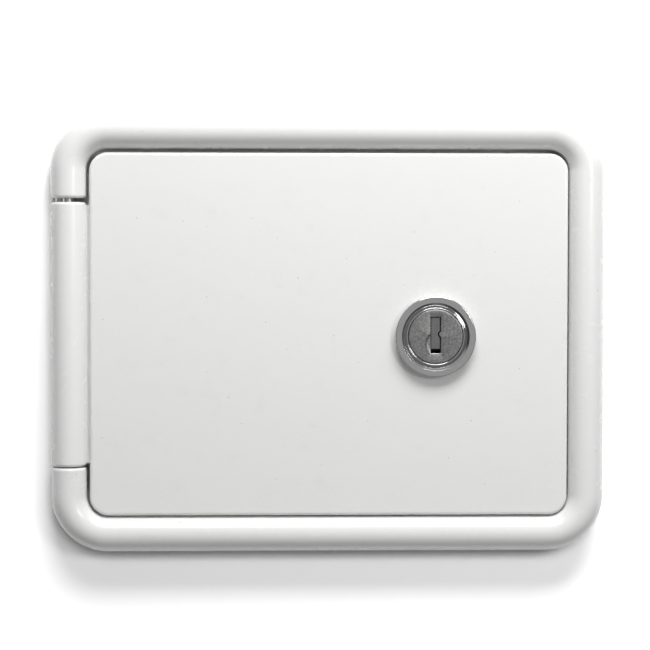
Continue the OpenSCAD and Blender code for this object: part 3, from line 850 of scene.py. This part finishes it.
finishes = {
    "frame_plastic": makePlastic("framePlastic", (0.84, 0.84, 0.832, 1), (0.815, 0.815, 0.81, 1), 0.0),
    "door_plastic": makePlastic("doorPlastic", (0.85, 0.85, 0.842, 1), (0.825, 0.825, 0.82, 1), 31.0),
    "lock_chrome": makeChrome(),
    "plug_satin": makeSatin(),
    "lock_steel": makeZinc(),
    "pin_steel": makePinSteel(),
    "seal_rubber": makeRubber(),
}
shutterSteel = makeShutterSteel()
print("Materials made")


def finish(piece, node, body, slot, material=None, sharp=34):  # stands a piece up and hands it over
    place(piece, standUp)
    piece.name = node.replace("_", " ").title().replace(" ", "")
    piece.data.polygons.foreach_set("use_smooth", [True] * len(piece.data.polygons))
    piece.data.set_sharp_from_angle(angle=radians(sharp))
    weigh = piece.modifiers.new("Weigh", "WEIGHTED_NORMAL")
    weigh.keep_sharp = True
    weigh.weight = 60
    bake(piece)
    piece.data.materials.clear()
    piece.data.materials.append(material or finishes[slot])
    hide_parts(node)
    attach(piece, body)
    print("Made", piece.name, "with", len(piece.data.polygons), "faces")


finish(makeFrame(), "frame_moulding", "frame", "frame_plastic")
finish(makePin("hinge_pin_upper"), "hinge_pin_upper", "frame", "pin_steel")
finish(makePin("hinge_pin_lower"), "hinge_pin_lower", "frame", "pin_steel")
finish(makeSeal(), "door_seal", "frame", "seal_rubber")
finish(makeDoor(), "door", "door", "door_plastic")
finish(makeHousing(), "lock_housing", "door", "lock_chrome")
finish(makeNut(), "lock_nut", "door", "lock_steel")
finish(makePlug(), "lock_plug", "lock", "plug_satin")
finish(makeShutter(), "key_shutter", "lock", "lock_steel", shutterSteel)
finish(makeCam(), "lock_cam", "lock", "lock_steel")
finish(makeCamScrew(), "cam_screw", "lock", "lock_steel")


# Camera, fitted to the photograph: millimetres on the drawing, degrees and pixels

cameraSettings = {"x": -21.3, "y": 24.7, "distance": 600.0, "yaw": 1.966, "pitch": 2.175, "roll": -0.075,
                  "focalPixels": 2146.5, "framePixels": 650.0}


def makeCamera():
    s = cameraSettings
    data = bpy.data.cameras.new("Camera")
    data.sensor_width = 36.0
    data.lens = data.sensor_width * s["focalPixels"] / s["framePixels"]
    data.clip_start = 0.01
    turned = Matrix.Rotation(radians(s["roll"]), 3, "Z") @ Matrix.Rotation(radians(s["pitch"]), 3, "X")
    turned = turned @ Matrix.Rotation(radians(s["yaw"]), 3, "Y")
    upright = Matrix.Rotation(pi / 2, 3, "X")
    made = bpy.data.objects.new("Camera", data)
    stand = (upright @ turned.transposed()).to_4x4()
    made.matrix_world = Matrix.Translation(upright @ Vector((s["x"], s["y"], s["distance"])) / 1000) @ stand
    scene.collection.objects.link(made)
    scene.camera = made


makeCamera()

# Wall behind the flange, with a hole for the throat. It can't be seen from behind. Its paint holds a painted
# shadow below and to the left of the flange.

wallSettings = {
    "radius": 420.0, "under": 0.8, "nearEdge": 95.0, "farEdge": 150.0, "shown": 1.7, "plain": 0.95,
    "paintedShadowTone": 0.22, "reach": 5.5, "lean": (0.3, -0.55, 0.8),
}


def makeWall():
    s = wallSettings
    low, high = planBox("frame_moulding")
    edge = s["under"]
    wide, tall = high.x - low.x - 2 * edge, high.y - low.y - 2 * edge
    inner = roundedRing(wide, tall, frameSizes["corner"] - edge, -0.05)
    outer = [(s["radius"] * cos(atan2(y, x)), s["radius"] * sin(atan2(y, x)), -0.05) for x, y, z in inner]
    count = len(inner)
    faces = [[k, count + k, count + (k + 1) % count, (k + 1) % count] for k in range(count)]
    wall = place(meshObject("Wall", inner + outer, faces), standUp)
    made = bpy.data.materials.new("wallPaint")
    made.use_nodes = True
    tree = Tree(made.node_tree)
    tree.nodes.clear()
    rays = tree.nodes.new("ShaderNodeLightPath")
    seen = Wire(tree, rays.outputs["Is Camera Ray"]) + Wire(tree, rays.outputs["Is Glossy Ray"])
    seen = seen + Wire(tree, rays.outputs["Is Transmission Ray"])
    spot = tree.add("ShaderNodeTexCoord", None, None, output="Object")
    away = tree.add("ShaderNodeVectorMath", {"operation": "LENGTH"}, {0: spot}, output="Value") * 1000
    far = tree.add("ShaderNodeMapRange", {"interpolation_type": "SMOOTHSTEP"},
                   {"Value": away, "From Min": s["nearEdge"], "From Max": s["farEdge"]})
    plain = tree.add("ShaderNodeBsdfDiffuse", None, {"Color": (s["plain"],) * 3 + (1,)})
    # Painted shadow: ambient occlusion about a normal leaned up, out and right picks a darker diffuse colour
    # on the wall close below and left of the flange
    lean = tree.add("ShaderNodeVectorMath", {"operation": "NORMALIZE"}, {0: s["lean"]})
    unshadowed = tree.add("ShaderNodeAmbientOcclusion", {"samples": 12},
                    {"Distance": s["reach"] / 1000, "Normal": lean}, output="AO")
    unshadowed = tree.add("ShaderNodeMapRange", {"interpolation_type": "SMOOTHSTEP"},
                    {"Value": unshadowed, "From Min": 0.3, "From Max": 0.85})
    shown = tree.add("ShaderNodeBsdfDiffuse", None, {"Color": (s["shown"],) * 3 + (1,)})
    paintedShadow = tree.add("ShaderNodeBsdfDiffuse", None, {"Color": (s["shown"] * s["paintedShadowTone"],) * 3 + (1,)})
    shown = tree.add("ShaderNodeMixShader", None, {0: unshadowed, 1: paintedShadow, 2: shown})
    white = tree.add("ShaderNodeEmission", None, {"Strength": 1.0})
    clear = tree.add("ShaderNodeBsdfTransparent")
    behind = tree.add("ShaderNodeNewGeometry", None, None, output="Backfacing")
    front = tree.add("ShaderNodeMixShader", None, {0: far, 1: shown, 2: white})
    front = tree.add("ShaderNodeMixShader", None, {0: seen, 1: plain, 2: front})
    result = tree.add("ShaderNodeMixShader", None, {0: behind, 1: front, 2: clear})
    tree.feed(tree.nodes.new("ShaderNodeOutputMaterial").inputs["Surface"], result)
    wall.data.materials.append(made)


makeWall()

# Studio: a soft key from above, a small lamp from the right, one behind, and a room for the metal to show

roomSettings = {"fill": 0.24, "front": 0.06, "ahead": 0.46, "low": 0.06, "high": 0.42, "background": 1.0}


def makeRoom():
    s = roomSettings
    world = bpy.data.worlds.new("Room")
    scene.world = world
    world.use_nodes = True
    tree = Tree(world.node_tree)
    tree.nodes.clear()
    rays = tree.nodes.new("ShaderNodeLightPath")
    camera = Wire(tree, rays.outputs["Is Camera Ray"])
    mirrored = Wire(tree, rays.outputs["Is Glossy Ray"]) + Wire(tree, rays.outputs["Is Transmission Ray"])
    parts = tree.nodes.new("ShaderNodeSeparateXYZ")
    tree.feed(parts.inputs[0], tree.add("ShaderNodeTexCoord", None, None, output="Generated"))
    depth, rise = Wire(tree, parts.outputs["Y"]), Wire(tree, parts.outputs["Z"])
    ahead = tree.add("ShaderNodeMapRange", {"interpolation_type": "SMOOTHSTEP"},
                     {"Value": 0.0 - depth, "From Min": 0.6, "From Max": 0.85})
    above = tree.add("ShaderNodeMapRange", {"interpolation_type": "SMOOTHSTEP"},
                     {"Value": rise, "From Min": 0.15, "From Max": 0.6})
    side = s["low"] + above * (s["high"] - s["low"])
    room = side + ahead * (s["ahead"] - side)
    back = tree.add("ShaderNodeMapRange", None, {"Value": depth, "From Min": 0.0, "From Max": 0.3})
    room = room + back * (s["background"] - room)
    front = tree.add("ShaderNodeMapRange", None, {"Value": 0.0 - depth, "From Min": 0.0, "From Max": 1.0})
    fill = s["fill"] + front * s["front"]
    level = fill + mirrored * (room - fill)
    level = level + camera * (s["background"] - level)
    tone = tree.add("ShaderNodeCombineColor", None, {"Red": level, "Green": level, "Blue": level})
    light = tree.add("ShaderNodeBackground", None, {"Color": tone, "Strength": 1.0})
    tree.feed(tree.nodes.new("ShaderNodeOutputWorld").inputs["Surface"], light)


lampSettings = {
    "Key": {"at": (0.06, -0.26, 0.40), "size": (0.36, 0.2), "power": 2.55},
    "Front": {"at": (0.3, -0.5, 0.12), "size": (0.12, 0.12), "power": 0.55},
    "Behind": {"at": (0.25, 0.5, 0.3), "size": (0.4, 0.4), "power": 2.2},
}


def makeLamp(name, at, size, power):
    data = bpy.data.lights.new(name, "AREA")
    data.shape = "RECTANGLE"
    data.size, data.size_y = size
    data.energy = power
    made = bpy.data.objects.new(name, data)
    made.location = at
    made.rotation_euler = (-Vector(at)).to_track_quat("-Z", "Y").to_euler()
    made.visible_camera = False
    scene.collection.objects.link(made)


makeRoom()
for name, settings in lampSettings.items():
    makeLamp(name, **settings)
scene.view_settings.view_transform = "Standard"
print("Stage set")
